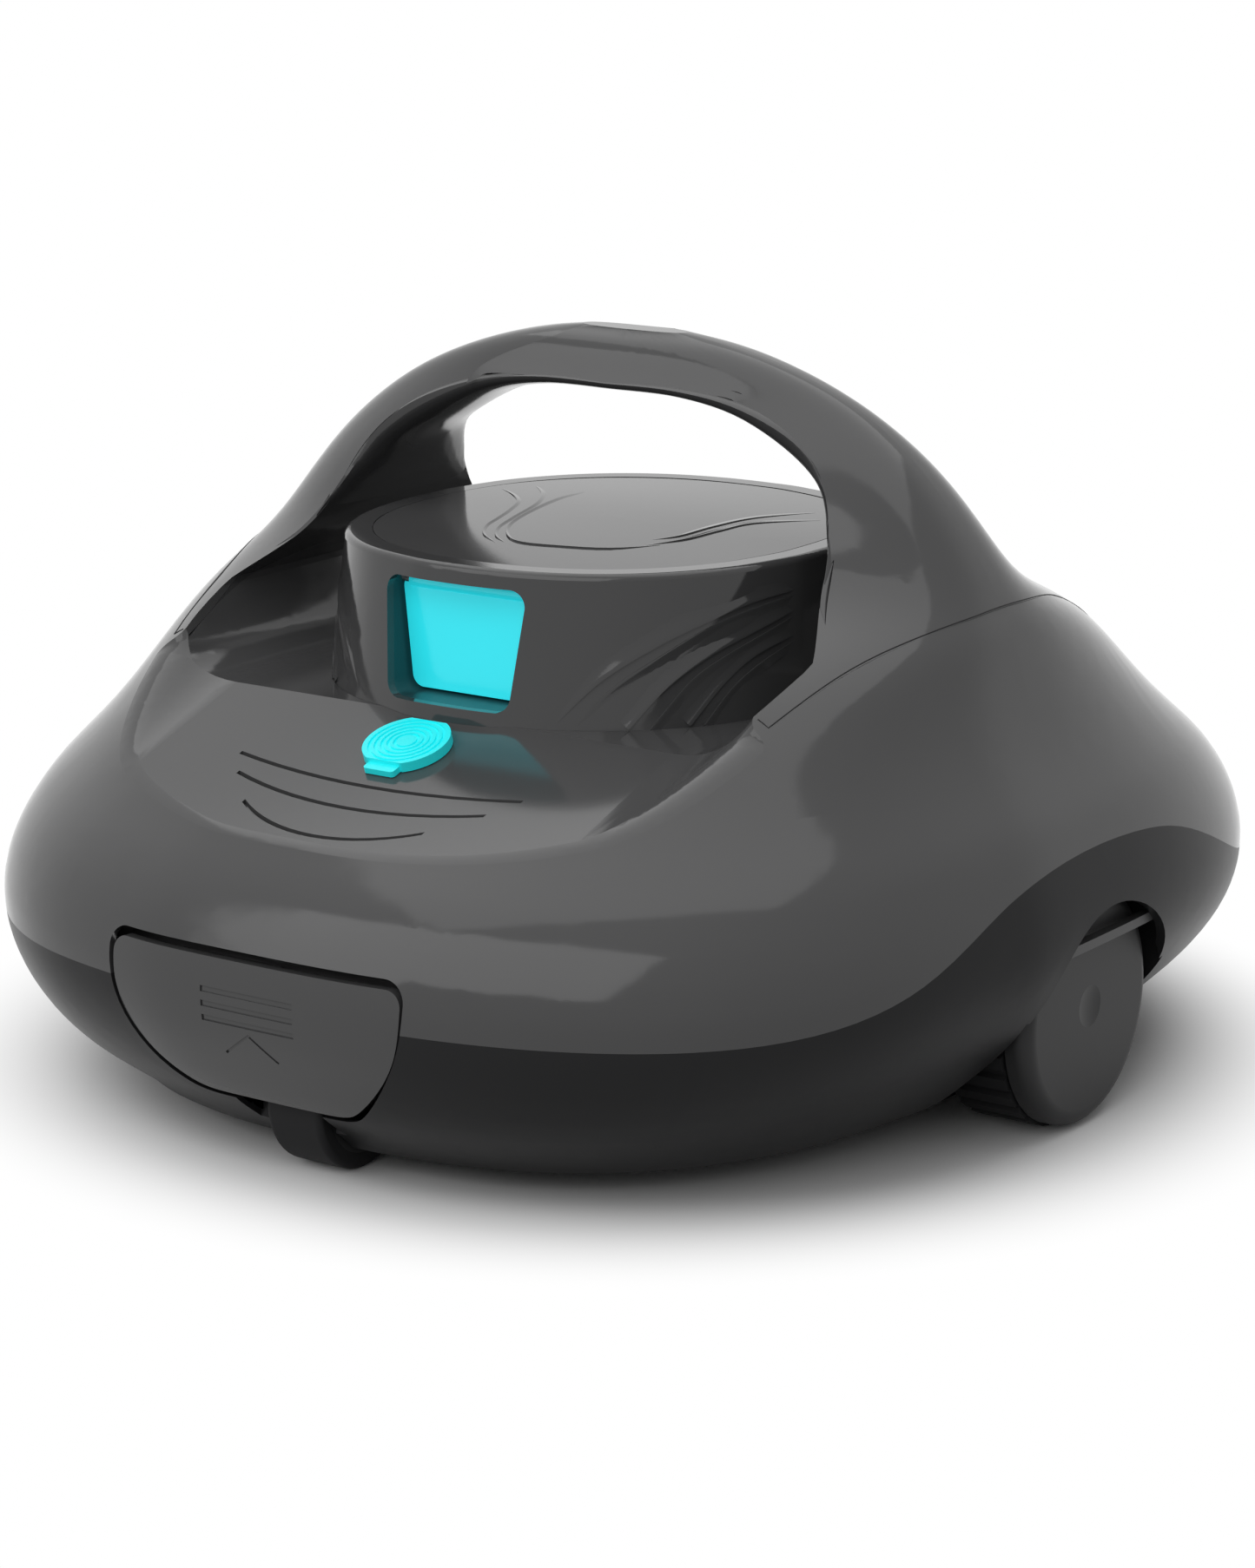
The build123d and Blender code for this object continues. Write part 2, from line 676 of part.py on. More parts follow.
def tower_gasket():
    gasket = tower_form(-TOWER_FLANGE, FLANGE_Z[1], DECK_Z - WALL)
    gasket -= tower_form(-FIT / 2, FLANGE_Z[1] - 1, DECK_Z)
    gasket -= channel(WALL)
    gasket -= on_deck(disc(SOCKET_R + FIT, -16, 0))
    for x, y in tower_screw_points():
        gasket -= disc(TOWER_SCREW_R, FLANGE_Z[1] - 1, DECK_Z, x, y)
    return gasket


def tower_screws():
    """Screws driven up through the flange and gasket into the deck."""
    screws = []
    for x, y in tower_screw_points():
        head = disc(TOWER_FLANGE / 2 - 0.1, FLANGE_Z[0] - SCREW_HEAD, FLANGE_Z[0], x, y)
        screws.append(head + disc(TOWER_SCREW_R, FLANGE_Z[0], TOWER_SCREW_TOP, x, y))
    return Compound(screws)


FLAP_Y = TOWER_Y - FLAP_SETBACK
FLAP_BARREL_R = 2.4
FLAP_AXIS_Z = WINDOW_TOP_Z - FLAP_BARREL_R - 0.5
FLAP_PIN_HALF = WINDOW_TOP_HALF + DUCT_WALL - 0.3


def flap_pin(radius=FLAP_PIN_D / 2):
    return rod(radius, (-FLAP_PIN_HALF, FLAP_Y, FLAP_AXIS_Z), (FLAP_PIN_HALF, FLAP_Y, FLAP_AXIS_Z))


def pump_volute():
    """Pump chamber with an outlet duct to each window."""
    duct = window_prism(TOWER_Y - 95, TOWER_Y + 95, DUCT_WALL)
    block = disc(TUBE_R + TUBE_WALL, FLANGE_Z[1], FLANGE_Z[1] + WALL, 0, TOWER_Y)
    block += disc(VOLUTE_R + DUCT_WALL, FLANGE_Z[1], VOLUTE_ROOF_Z + DUCT_WALL, 0, TOWER_Y)
    block += duct & tower_form(TOWER_WALL, FLANGE_Z[1], ROOF_Z)
    block -= window_prism(TOWER_Y - 96, TOWER_Y + 96)
    block -= disc(VOLUTE_R, FLANGE_Z[1] + WALL, VOLUTE_ROOF_Z, 0, TOWER_Y)
    block -= disc(EYE_R, FLANGE_Z[1] - 1, FLANGE_Z[1] + WALL + 1, 0, TOWER_Y)
    for _, sign in ENDS:
        block -= at_jet(flap_pin(), sign)
    return block


def jet_flap(sign):
    """Outlet flap with its hinge barrel along the top edge."""
    half = FLAP_THICK / 2
    flap = window_prism(FLAP_Y - half, FLAP_Y + half, -FLAP_GAP)
    flap -= box(-FAR, FAR, -FAR, FAR, FLAP_AXIS_Z, FAR)
    width = WINDOW_TOP_HALF - WINDOW_CORNER + 1
    flap += rod(FLAP_BARREL_R, (-width, FLAP_Y, FLAP_AXIS_Z), (width, FLAP_Y, FLAP_AXIS_Z))
    flap -= flap_pin(FLAP_PIN_D / 2 + PIN_FIT)
    return at_jet(flap, sign)


def jet_flap_pins():
    return Compound([at_jet(flap_pin(), sign) for _, sign in ENDS])


# ---------------------------------------------------------------- pump and motor
def pump_tube():
    tube = disc(TUBE_R + TUBE_WALL, SEPARATOR_Z, FLANGE_Z[1], 0, TOWER_Y)
    return tube - disc(TUBE_R, SEPARATOR_Z - 1, FLANGE_Z[1] + 1, 0, TOWER_Y)


def motor_pod():
    """Dry housing of the motor, held in the tube by guide vanes."""
    pod = disc(POD_R, *POD_Z, 0, TOWER_Y)
    for k in range(VANES):
        vane = box(POD_R - 1, TUBE_R, -VANE_THICK / 2, VANE_THICK / 2, POD_Z[0] + 3, POD_Z[1] - 4)
        pod += Pos(0, TOWER_Y, 0) * Rot(0, 0, 90 + k * 360 / VANES) * vane
    pod -= disc(MOTOR_R, POD_Z[0] - 1, POD_Z[1] - POD_WALL, 0, TOWER_Y)
    return pod - disc(SHAFT_D / 2 + PIN_FIT, POD_Z[0], POD_Z[1] + 1, 0, TOWER_Y)


def motor_cap():
    """Domed nose that closes the lower end of the pod."""
    low = POD_Z[0] - CAP_DOME
    cap = disc(POD_R, low, POD_Z[0], 0, TOWER_Y)
    cap = cap.fillet(CAP_DOME - 2, [e for e in cap.edges() if e.center().Z < low + 0.1])
    return cap + disc(MOTOR_R, POD_Z[0], POD_Z[0] + MOTOR_SEAT, 0, TOWER_Y)


def pump_motor():
    top = POD_Z[1] - POD_WALL
    motor = disc(MOTOR_R, POD_Z[0] + MOTOR_SEAT, top, 0, TOWER_Y)
    return motor - disc(SHAFT_D / 2 + PIN_FIT, SHAFT_LOW_Z, top + 1, 0, TOWER_Y)


def shaft_seal():
    seal = disc(SHAFT_D * 1.5, POD_Z[1], POD_Z[1] + WALL, 0, TOWER_Y)
    return seal - disc(SHAFT_D / 2 + PIN_FIT, POD_Z[1] - 1, POD_Z[1] + WALL + 1, 0, TOWER_Y)


def motor_shaft():
    return disc(SHAFT_D / 2, SHAFT_LOW_Z, IMPELLER_Z[1] - 2, 0, TOWER_Y)


def impeller():
    """Back plate, hub and blades that curve away from the turn."""
    low, high = IMPELLER_Z
    wheel = disc(IMPELLER_R, high - BACK_PLATE, high) + disc(HUB_R, low - 3, high)
    reach, bow = IMPELLER_R - 0.5, IMPELLER_R * 0.3

    def side(shift):
        return Edge.make_three_point_arc(
            Vector(HUB_R - 1, shift, low), Vector(reach * 0.55, shift + bow * 0.55, low),
            Vector(reach * 0.87, shift + bow * 1.45, low))
    near, far = side(0), side(BLADE_THICK)
    ends = [Edge.make_line(near @ 1, far @ 1), Edge.make_line(far @ 0, near @ 0)]
    blade = Solid.extrude(Face(Wire([near, far] + ends)), Vector(0, 0, high - low - 1))
    for k in range(BLADES):
        wheel += Rot(0, 0, k * 360 / BLADES) * blade
    wheel -= disc(SHAFT_D / 2, low - 4, high - BACK_PLATE)
    return Pos(0, TOWER_Y, 0) * wheel


# ---------------------------------------------------------------- separator and housings
def separator_plate():
    """Floor of the dry bay, over the filter basket."""
    top = SEPARATOR_Z + SEPARATOR_THICK
    plate = body_form(WALL + 0.1) & box(-FAR, FAR, -FAR, FAR, SEPARATOR_Z, top)
    for solid in well_walls + pocket_walls:
        plate -= solid
    return plate - disc(TUBE_R + TUBE_WALL, SEPARATOR_Z - 1, top + 1, 0, TOWER_Y)


def housing(x_half, y0, y1, height):
    """Open box that stands on the separator."""
    low = SEPARATOR_Z + SEPARATOR_THICK
    tub = box(-x_half, x_half, y0, y1, low, low + height)
    wall = HOUSING_WALL
    return tub - box(-x_half + wall, x_half - wall, y0 + wall, y1 - wall,
                     low + wall, low + height + 1)


def housing_lid(x_half, y0, y1, height):
    low = SEPARATOR_Z + SEPARATOR_THICK + height
    lid = box(-x_half, x_half, y0, y1, low, low + 3)
    wall = HOUSING_WALL + 0.2
    return lid + box(-x_half + wall, x_half - wall, y0 + wall, y1 - wall, low - 2, low)


def battery_cells():
    """Two short stacks of three cells, lying across the body."""
    low = SEPARATOR_Z + SEPARATOR_THICK + HOUSING_WALL
    middle = (BATTERY_BOX[1] + BATTERY_BOX[2]) / 2
    cells = []
    for row in (-1, 0, 1):
        y = middle + row * (2 * CELL_R + 1)
        for start in (-CELL_LENGTH - 1, 1):
            cells.append(rod(CELL_R, (start, y, low + CELL_R), (start + CELL_LENGTH, y, low + CELL_R)))
    return Compound(cells)


def control_board():
    """Circuit board on four posts, with its larger components."""
    low = SEPARATOR_Z + SEPARATOR_THICK + HOUSING_WALL
    x_half, y0, y1, _ = CONTROL_BOX
    middle = (y0 + y1) / 2
    board = box(-x_half + 5, x_half - 5, y0 + 5, y1 - 5, low + 5, low + 6.6)
    for x in (-x_half + 9, x_half - 9):
        for y in (y0 + 9, y1 - 9):
            board += disc(2.5, low, low + 5, x, y)
    board += box(-10, 10, middle - 10, middle + 6, low + 6.6, low + 8.6)
    board += box(18, 32, middle - 8, middle + 8, low + 6.6, low + 12)
    for x in (-30, -20):
        board += disc(4, low + 6.6, low + 15, x, middle)
    return board


# ---------------------------------------------------------------- charge port
def charge_socket():
    """Cup under the deck, with a pedestal for the contacts and a collar for the power button."""
    top = -WALL * math.cos(math.radians(deck_angle))
    cup = disc(SOCKET_R, SOCKET_LOW, top) - disc(SOCKET_R - 1.6, SOCKET_LOW + 2, top + 1)
    cup += disc(PEDESTAL_R, SOCKET_LOW + 2, PEDESTAL_TOP, PEDESTAL_X)
    cup += disc(BUTTON_R + 1.6, SOCKET_LOW + 2, PEDESTAL_TOP - 1.5, BUTTON_X)
    cup -= disc(BUTTON_R + FIT, SOCKET_LOW + 2, PEDESTAL_TOP, BUTTON_X)
    for x in CONTACT_X:
        cup -= disc(CONTACT_R, PEDESTAL_TOP - 3, PEDESTAL_TOP + 1, x)
    return on_deck(cup)


def charge_contacts():
    pins = [disc(CONTACT_R, PEDESTAL_TOP - 3, PEDESTAL_TOP + 1.5, x) for x in CONTACT_X]
    return Compound([on_deck(pin) for pin in pins])


def power_button():
    button = disc(BUTTON_R, BUTTON_LOW, PEDESTAL_TOP, BUTTON_X)
    button = button.fillet(0.6, [e for e in button.edges() if e.center().Z > PEDESTAL_TOP - 0.1])
    return on_deck(button)


def charge_cap():
    """Pull-off cap: flatted disc with concentric rings, a tab in front and a plug below."""
    low, high = FIT, FIT + CAP_THICK
    cap = disc(CAP_R, low, high)
    cap -= box(-FAR, FAR, CAP_FLAT, FAR, -1, FAR)
    cap -= box(-FAR, FAR, -FAR, -CAP_FLAT, -1, FAR)
    for k in range(CAP_RINGS):
        radius = CAP_R - 1.6 - k * CAP_RING_PITCH
        cap -= disc(radius, high - CAP_RING_DEPTH, high + 1) - disc(
            radius - CAP_RING_PITCH / 2, high - CAP_RING_DEPTH - 1, high + 2)
    tab = box(-CAP_TAB_HALF, CAP_TAB_HALF, -CAP_FLAT - CAP_TAB, -CAP_FLAT + 1, low, low + 1.8)
    cap += tab.fillet(1.2, [e for e in tab.edges() if e.center().Y < -CAP_FLAT - CAP_TAB + 0.1
                            and abs(e.center().X) > CAP_TAB_HALF - 0.1])
    cap += disc(CAP_PLUG_R, -CAP_PLUG, low) - disc(CAP_PLUG_R - 1.7, -CAP_PLUG - 1, low)
    return on_deck(cap)


# ---------------------------------------------------------------- inlet and filter
FLOOR_TOP_Z = BASE_Z + BASE_FLOOR
INLET_AXIS_Z = FLOOR_TOP_Z + INLET_PLATE + 2.2
INLET_PIN_HALF = MOUTH_HALF_X + 4.5


def inlet_pin(radius=INLET_PIN_R):
    return rod(radius, (-INLET_PIN_HALF, -MOUTH_HALF_Y + 1, INLET_AXIS_Z),
               (INLET_PIN_HALF, -MOUTH_HALF_Y + 1, INLET_AXIS_Z))


def inlet_frame():
    """Throat of the suction mouth, with a flange on the floor and ears for the flap pins."""
    hole = (MOUTH_HALF_X - MOUTH_SEAT, MOUTH_HALF_Y)
    frame = box(-MOUTH_HALF_X - MOUTH_FLANGE, MOUTH_HALF_X + MOUTH_FLANGE,
                -MOUTH_HALF_Y - MOUTH_FLANGE, MOUTH_HALF_Y + MOUTH_FLANGE,
                FLOOR_TOP_Z, FLOOR_TOP_Z + INLET_PLATE)
    frame += mouth_throat & box(-FAR, FAR, -FAR, FAR, MOUTH_LIP, FLOOR_TOP_Z + INLET_PLATE)
    frame -= box(-hole[0], hole[0], -hole[1], hole[1], 0, FAR)
    for _, sign in ENDS:
        for x in (-INLET_PIN_HALF, MOUTH_HALF_X + 0.5):
            ear = box(x, x + 4, -MOUTH_HALF_Y - 1.5, -MOUTH_HALF_Y + 3.5,
                      FLOOR_TOP_Z + INLET_PLATE, INLET_AXIS_Z + 2.5)
            frame += at_end(ear, sign)
        frame -= at_end(inlet_pin(), sign)
    return frame


def inlet_flap(sign):
    """One of two flaps that suction lifts off the mouth."""
    low = FLOOR_TOP_Z + INLET_PLATE + 0.2
    flap = box(-MOUTH_HALF_X, MOUTH_HALF_X, -MOUTH_HALF_Y + 1, -0.6, low, low + MOUTH_FLAP_THICK)
    y, half = -MOUTH_HALF_Y + 1, MOUTH_HALF_X
    flap += rod(INLET_PIN_R + 0.9, (-half, y, INLET_AXIS_Z), (half, y, INLET_AXIS_Z))
    flap -= inlet_pin(INLET_PIN_R + PIN_FIT)
    return at_end(flap, sign)


def inlet_flap_pins():
    return Compound([at_end(inlet_pin(), sign) for _, sign in ENDS])


def window_row(half_length, count):
    """Start and end of equal windows along one side of the basket."""
    pitch = (2 * half_length - BASKET_POST) / count
    for k in range(count):
        start = -half_length + BASKET_POST + k * pitch
        yield start, start + pitch - BASKET_POST


def basket_panes(inner, outer):
    """Blocks at every window of the basket, between two depths in from its outside."""
    low, high = FLOOR_TOP_Z + BASKET_POST, BASKET_TOP_Z - BASKET_POST
    panes = []
    for a, b in window_row(BASKET_HALF_X, BASKET_WINDOWS_X):
        for sign in (-1, 1):
            near, far = sorted((sign * (BASKET_HALF_Y - inner), sign * (BASKET_HALF_Y - outer)))
            panes.append(box(a, b, near, far, low, high))
        for c, d in window_row(BASKET_HALF_Y, BASKET_WINDOWS_Y):
            panes.append(box(a, b, c, d, BASKET_TOP_Z - inner, BASKET_TOP_Z - outer))
    for a, b in window_row(BASKET_HALF_Y, BASKET_WINDOWS_Y):
        for sign in (-1, 1):
            near, far = sorted((sign * (BASKET_HALF_X - inner), sign * (BASKET_HALF_X - outer)))
            panes.append(box(near, far, a, b, low, high))
    return panes


def filter_basket():
    wall = BASKET_WALL
    basket = box(-BASKET_HALF_X, BASKET_HALF_X, -BASKET_HALF_Y, BASKET_HALF_Y,
                 FLOOR_TOP_Z, BASKET_TOP_Z)
    basket -= box(-BASKET_HALF_X + wall, BASKET_HALF_X - wall,
                  -BASKET_HALF_Y + wall, BASKET_HALF_Y - wall,
                  FLOOR_TOP_Z + wall, BASKET_TOP_Z - wall)
    mouth = MOUTH_FLANGE + 2
    basket -= box(-MOUTH_HALF_X - mouth, MOUTH_HALF_X + mouth,
                  -MOUTH_HALF_Y - mouth, MOUTH_HALF_Y + mouth, 0, FLOOR_TOP_Z + wall + 1)
    for pane in basket_panes(wall + 1, -1):
        basket -= pane
    return basket


def filter_mesh():
    """Fine mesh sheets, one in each window of the basket."""
    middle = BASKET_WALL / 2
    return Compound(basket_panes(middle + MESH_THICK / 2, middle - MESH_THICK / 2))


# ---------------------------------------------------------------- wheels and rollers
WHEEL_IN_X = WHEEL_FACE_X - WHEEL_WIDTH
COVER_X = WHEEL_FACE_X - COVER_THICK
CLIP_X = COVER_X - 3


def ribbed_ring(radius, root, count, x0, x1, share=0.62):
    """Toothed outline of a tread, carried along X."""
    points = []
    step = 2 * math.pi / count
    for k in range(count):
        for angle, r in ((0.0, root), (0.08, radius), (share, radius), (share + 0.08, root)):
            t = (k + angle) * step
            points.append(Vector(x0, r * math.cos(t), r * math.sin(t)))
    return Solid.extrude(Face(Wire.make_polygon(points, close=True)), Vector(x1 - x0, 0, 0))


def on_wheel(shape):
    return Pos(0, 0, WHEEL_R) * shape


def axial(radius, x0, x1):
    """Disc about the X axis."""
    return rod(radius, (x0, 0, 0), (x1, 0, 0))


def wheel_tyre():
    x0, x1 = WHEEL_IN_X + 1, COVER_X - 1
    tyre = ribbed_ring(WHEEL_R, WHEEL_R - LUG_HEIGHT, LUGS, x0, x1)
    return on_wheel(tyre - axial(WHEEL_R - TYRE_DEPTH, x0 - 1, x1 + 1))


def wheel_hub():
    radius = WHEEL_R - TYRE_DEPTH
    hub = axial(radius, WHEEL_IN_X, COVER_X)
    hub -= axial(radius - 3, WHEEL_IN_X - 1, COVER_X - 5) - axial(HUB_BOSS_R, 0, FAR)
    for k in range(HUB_SPOKES):
        spoke = box(WHEEL_IN_X + 2, COVER_X - 4, -1.5, 1.5, HUB_BOSS_R - 1, radius - 2)
        hub += Rot(k * 360 / HUB_SPOKES, 0, 0) * spoke
    hub -= axial(AXLE_D / 2 + PIN_FIT, 0, FAR)
    return on_wheel(hub - axial(CLIP_R + 1.5, CLIP_X - 0.5, FAR))


def wheel_cover():
    cover = axial(WHEEL_R - 1, COVER_X, WHEEL_FACE_X)
    rim = [e for e in cover.edges() if e.center().X > WHEEL_FACE_X - 0.1]
    cover = cover.fillet(COVER_THICK * 0.6, rim)
    dimple_r = 30.0
    return on_wheel(cover - Pos(WHEEL_FACE_X + dimple_r - 0.7, 0, 0) * Sphere(dimple_r))


def wheel_axles():
    axle = axial(AXLE_D / 2, AXLE_IN_X, AXLE_OUT_X)
    axle -= axial(AXLE_D, CLIP_X, CLIP_X + CLIP_THICK) - axial(AXLE_D / 2 - 0.6, 0, FAR)
    return Compound([at_side(on_wheel(axle), sign) for _, sign in SIDES])


def axle_clips():
    """Spring clips that keep the wheels on their axles."""
    clip = axial(CLIP_R, CLIP_X, CLIP_X + CLIP_THICK)
    clip -= axial(AXLE_D / 2 - 0.6, 0, FAR)
    clip -= box(0, FAR, -2, 2, -FAR, 0)
    return Compound([at_side(on_wheel(clip), sign) for _, sign in SIDES])


def on_roller(shape, sign):
    return at_end(Pos(0, -ROLLER_Y, ROLLER_R) * shape, sign)


def roller(sign):
    half = ROLLER_WIDTH / 2
    core = axial(ROLLER_R - ROLLER_TREAD, -half, half)
    for x0, x1 in ((-half - 1, -half + 3), (half - 3, half + 1)):
        core -= axial(ROLLER_R - ROLLER_TREAD - 2, x0, x1) - axial(ROLLER_PIN_D, -FAR, FAR)
    return on_roller(core - axial(ROLLER_PIN_D / 2 + PIN_FIT, -FAR, FAR), sign)


def roller_tyre(sign):
    half = ROLLER_WIDTH / 2
    tyre = axial(ROLLER_R, -half, half)
    tyre = tyre.fillet(2.0, [e for e in tyre.edges() if abs(e.center().X) > half - 0.1])
    return on_roller(tyre - axial(ROLLER_R - ROLLER_TREAD, -FAR, FAR), sign)


def roller_axles():
    return Compound([at_end(roller_pin(), sign) for _, sign in ENDS])


# ---------------------------------------------------------------- latches
def latch_marks():
    """Engraved grip bars and an arrow on the face of the latch panel."""
    marks = []
    for k in range(MARK_BARS):
        z = MARK_TOP_Z - k * MARK_PITCH
        marks.append(box(-MARK_HALF, MARK_HALF, -FAR, -150, z - MARK_BAR, z))
    arm = Rot(0, ARROW_TILT, 0) * box(0, ARROW_ARM, -FAR, -150, -ARROW_LINE, 0)
    arrow = Pos(0, 0, ARROW_TOP_Z) * (arm + at_side(arm, -1))
    marks.append(arrow)
    skin = body_form(LATCH_SET + MARK_DEPTH)
    return [mark - skin for mark in marks]


def latch(sign):
    """Hinged grip panel that follows the body and swings out from its foot."""
    panel = latch_block() & (body_form(LATCH_SET) - body_form(LATCH_SET + LATCH_THICK))
    panel = max(panel.solids(), key=lambda solid: solid.volume)
    y, z = LATCH_PIVOT
    for x0, x1 in LATCH_KNUCKLES:
        knuckle = rod(LATCH_BARREL_R, (x0, y, z), (x1, y, z))
        web = box(x0, x1, y - 8, y, z - 1.6, z + 1.6) & body_form(LATCH_SET + 1)
        panel += knuckle + web
    panel -= rod(LATCH_PIN_D / 2 + PIN_FIT, (-60, y, z), (60, y, z))
    for mark in latch_marks():
        panel -= mark
    return at_end(panel, sign)


def latch_pins():
    return Compound([at_end(latch_pin(), sign) for _, sign in ENDS])


# ---------------------------------------------------------------- all nodes
parts["lower_base"] = lower_base()
parts["upper_shell"] = upper_shell()
parts["handle_shell"] = handle_shell()
parts["handle_liner"] = handle_liner()
parts["handle_screws"] = handle_screws()
parts["jet_tower"] = jet_tower()
parts["tower_lid"] = tower_lid()
parts["tower_gasket"] = tower_gasket()
parts["tower_screws"] = tower_screws()
parts["pump_volute"] = pump_volute()
parts["jet_flap_pins"] = jet_flap_pins()
parts["pump_tube"] = pump_tube()
parts["motor_pod"] = motor_pod()
parts["motor_cap"] = motor_cap()
parts["pump_motor"] = pump_motor()
parts["shaft_seal"] = shaft_seal()
parts["motor_shaft"] = motor_shaft()
parts["impeller"] = impeller()
parts["separator_plate"] = separator_plate()
parts["battery_housing"] = housing(*BATTERY_BOX)
parts["battery_lid"] = housing_lid(*BATTERY_BOX)
parts["battery_cells"] = battery_cells()
parts["control_housing"] = housing(*CONTROL_BOX)
parts["control_lid"] = housing_lid(*CONTROL_BOX)
parts["control_board"] = control_board()
parts["charge_socket"] = charge_socket()
parts["charge_contacts"] = charge_contacts()
parts["power_button"] = power_button()
parts["charge_cap"] = charge_cap()
parts["inlet_frame"] = inlet_frame()
parts["inlet_flap_pins"] = inlet_flap_pins()
parts["filter_basket"] = filter_basket()
parts["filter_mesh"] = filter_mesh()
parts["wheel_axles"] = wheel_axles()
parts["axle_clips"] = axle_clips()
parts["roller_axles"] = roller_axles()
parts["latch_pins"] = latch_pins()
for end, sign in ENDS:
    parts[end + "_jet_flap"] = jet_flap(sign)
    parts[end + "_inlet_flap"] = inlet_flap(sign)
    parts[end + "_roller"] = roller(sign)
    parts[end + "_roller_tyre"] = roller_tyre(sign)
    parts[end + "_latch"] = latch(sign)
for side, sign in SIDES:
    parts[side + "_wheel_tyre"] = at_side(wheel_tyre(), sign)
    parts[side + "_wheel_hub"] = at_side(wheel_hub(), sign)
    parts[side + "_wheel_cover"] = at_side(wheel_cover(), sign)

os.makedirs("parts", exist_ok=True)
for name, shape in parts.items():
    export_step(shape, "parts/" + name + ".step")
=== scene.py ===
import math
import bpy
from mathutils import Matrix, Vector
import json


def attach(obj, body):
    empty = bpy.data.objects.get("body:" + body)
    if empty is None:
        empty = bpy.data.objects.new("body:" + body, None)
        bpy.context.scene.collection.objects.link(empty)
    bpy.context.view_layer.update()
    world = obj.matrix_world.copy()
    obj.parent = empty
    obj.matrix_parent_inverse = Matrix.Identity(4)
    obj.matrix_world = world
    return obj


# Dressing of the two-way pool cleaner: finishes for every moulded piece, the relief on its
# lid and tower, a pale floor, soft lamps and the camera. Metres, +Z up, front towards -Y.

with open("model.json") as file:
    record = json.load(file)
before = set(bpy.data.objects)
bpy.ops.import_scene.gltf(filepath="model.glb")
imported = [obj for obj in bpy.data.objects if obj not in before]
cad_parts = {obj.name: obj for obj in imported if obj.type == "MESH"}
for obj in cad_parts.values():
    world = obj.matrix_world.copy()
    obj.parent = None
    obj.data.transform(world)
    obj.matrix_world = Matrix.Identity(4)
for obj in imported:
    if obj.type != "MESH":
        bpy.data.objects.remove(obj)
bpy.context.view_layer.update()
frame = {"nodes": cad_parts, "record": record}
scene = bpy.context.scene
scene.view_settings.view_transform = "Standard"
WHITE = (1, 1, 1, 1)
MM_PER_M = 1000

# ---------------------------------------------------------------- camera
CAMERA_AT = (0.7589, -1.0951, 0.4179)
CAMERA_AZIMUTH = 34.83
CAMERA_ELEVATION = 14.17
CAMERA_LENS = 100.8
SENSOR = 36.0
CLIP_NEAR = 0.05
CLIP_FAR = 50.0


def add_camera():
    data = bpy.data.cameras.new("studio_camera")
    data.lens = CAMERA_LENS
    data.sensor_width = SENSOR
    data.clip_start = CLIP_NEAR
    data.clip_end = CLIP_FAR
    camera = bpy.data.objects.new("studio_camera", data)
    scene.collection.objects.link(camera)
    camera.location = CAMERA_AT
    camera.rotation_euler = (math.radians(90 - CAMERA_ELEVATION), 0, math.radians(CAMERA_AZIMUTH))
    scene.camera = camera


add_camera()

# ---------------------------------------------------------------- light
LAMP_AIM = (0, 0, 0.1)
TOP_AT = (-0.1, 0.2, 1.4)
TOP_SIZE = (1.8, 1.6)
TOP_POWER = 8.5
KEY_AT = (-0.1, -1.5, 1.2)
KEY_SIZE = (2.6, 1.4)
KEY_POWER = 17.0
WORLD_LEVEL = 0.3


def add_softbox(name, place, size, power):
    """A wide soft lamp that points at the middle of the cleaner."""
    data = bpy.data.lights.new(name, "AREA")
    data.shape = "RECTANGLE"
    data.size, data.size_y = size
    data.energy = power
    lamp = bpy.data.objects.new(name, data)
    scene.collection.objects.link(lamp)
    lamp.location = place
    lamp.rotation_euler = (Vector(LAMP_AIM) - Vector(place)).to_track_quat("-Z", "Y").to_euler()


def seen_rays(nodes, links):
    """Socket that is 1 for rays from the camera, from gloss and through clear pieces."""
    rays = nodes.new("ShaderNodeLightPath")
    with_gloss, with_clear = nodes.new("ShaderNodeMath"), nodes.new("ShaderNodeMath")
    with_gloss.operation = with_clear.operation = "MAXIMUM"
    links.new(rays.outputs["Is Camera Ray"], with_gloss.inputs[0])
    links.new(rays.outputs["Is Glossy Ray"], with_gloss.inputs[1])
    links.new(with_gloss.outputs[0], with_clear.inputs[0])
    links.new(rays.outputs["Is Transmission Ray"], with_clear.inputs[1])
    return with_clear.outputs[0]


def add_world():
    """Even grey daylight, seen as white behind the cleaner and in its gloss."""
    world = bpy.data.worlds.new("studio_world")
    scene.world = world
    world.use_nodes = True
    nodes, links = world.node_tree.nodes, world.node_tree.links
    nodes.clear()
    out = nodes.new("ShaderNodeOutputWorld")
    mix = nodes.new("ShaderNodeMixShader")
    soft, white = nodes.new("ShaderNodeBackground"), nodes.new("ShaderNodeBackground")
    soft.inputs["Color"].default_value = WHITE
    soft.inputs["Strength"].default_value = WORLD_LEVEL
    white.inputs["Color"].default_value = WHITE
    white.inputs["Strength"].default_value = 1.0
    links.new(seen_rays(nodes, links), mix.inputs[0])
    links.new(soft.outputs[0], mix.inputs[1])
    links.new(white.outputs[0], mix.inputs[2])
    links.new(mix.outputs[0], out.inputs[0])


add_softbox("top_softbox", TOP_AT, TOP_SIZE, TOP_POWER)
add_softbox("key_softbox", KEY_AT, KEY_SIZE, KEY_POWER)
add_world()


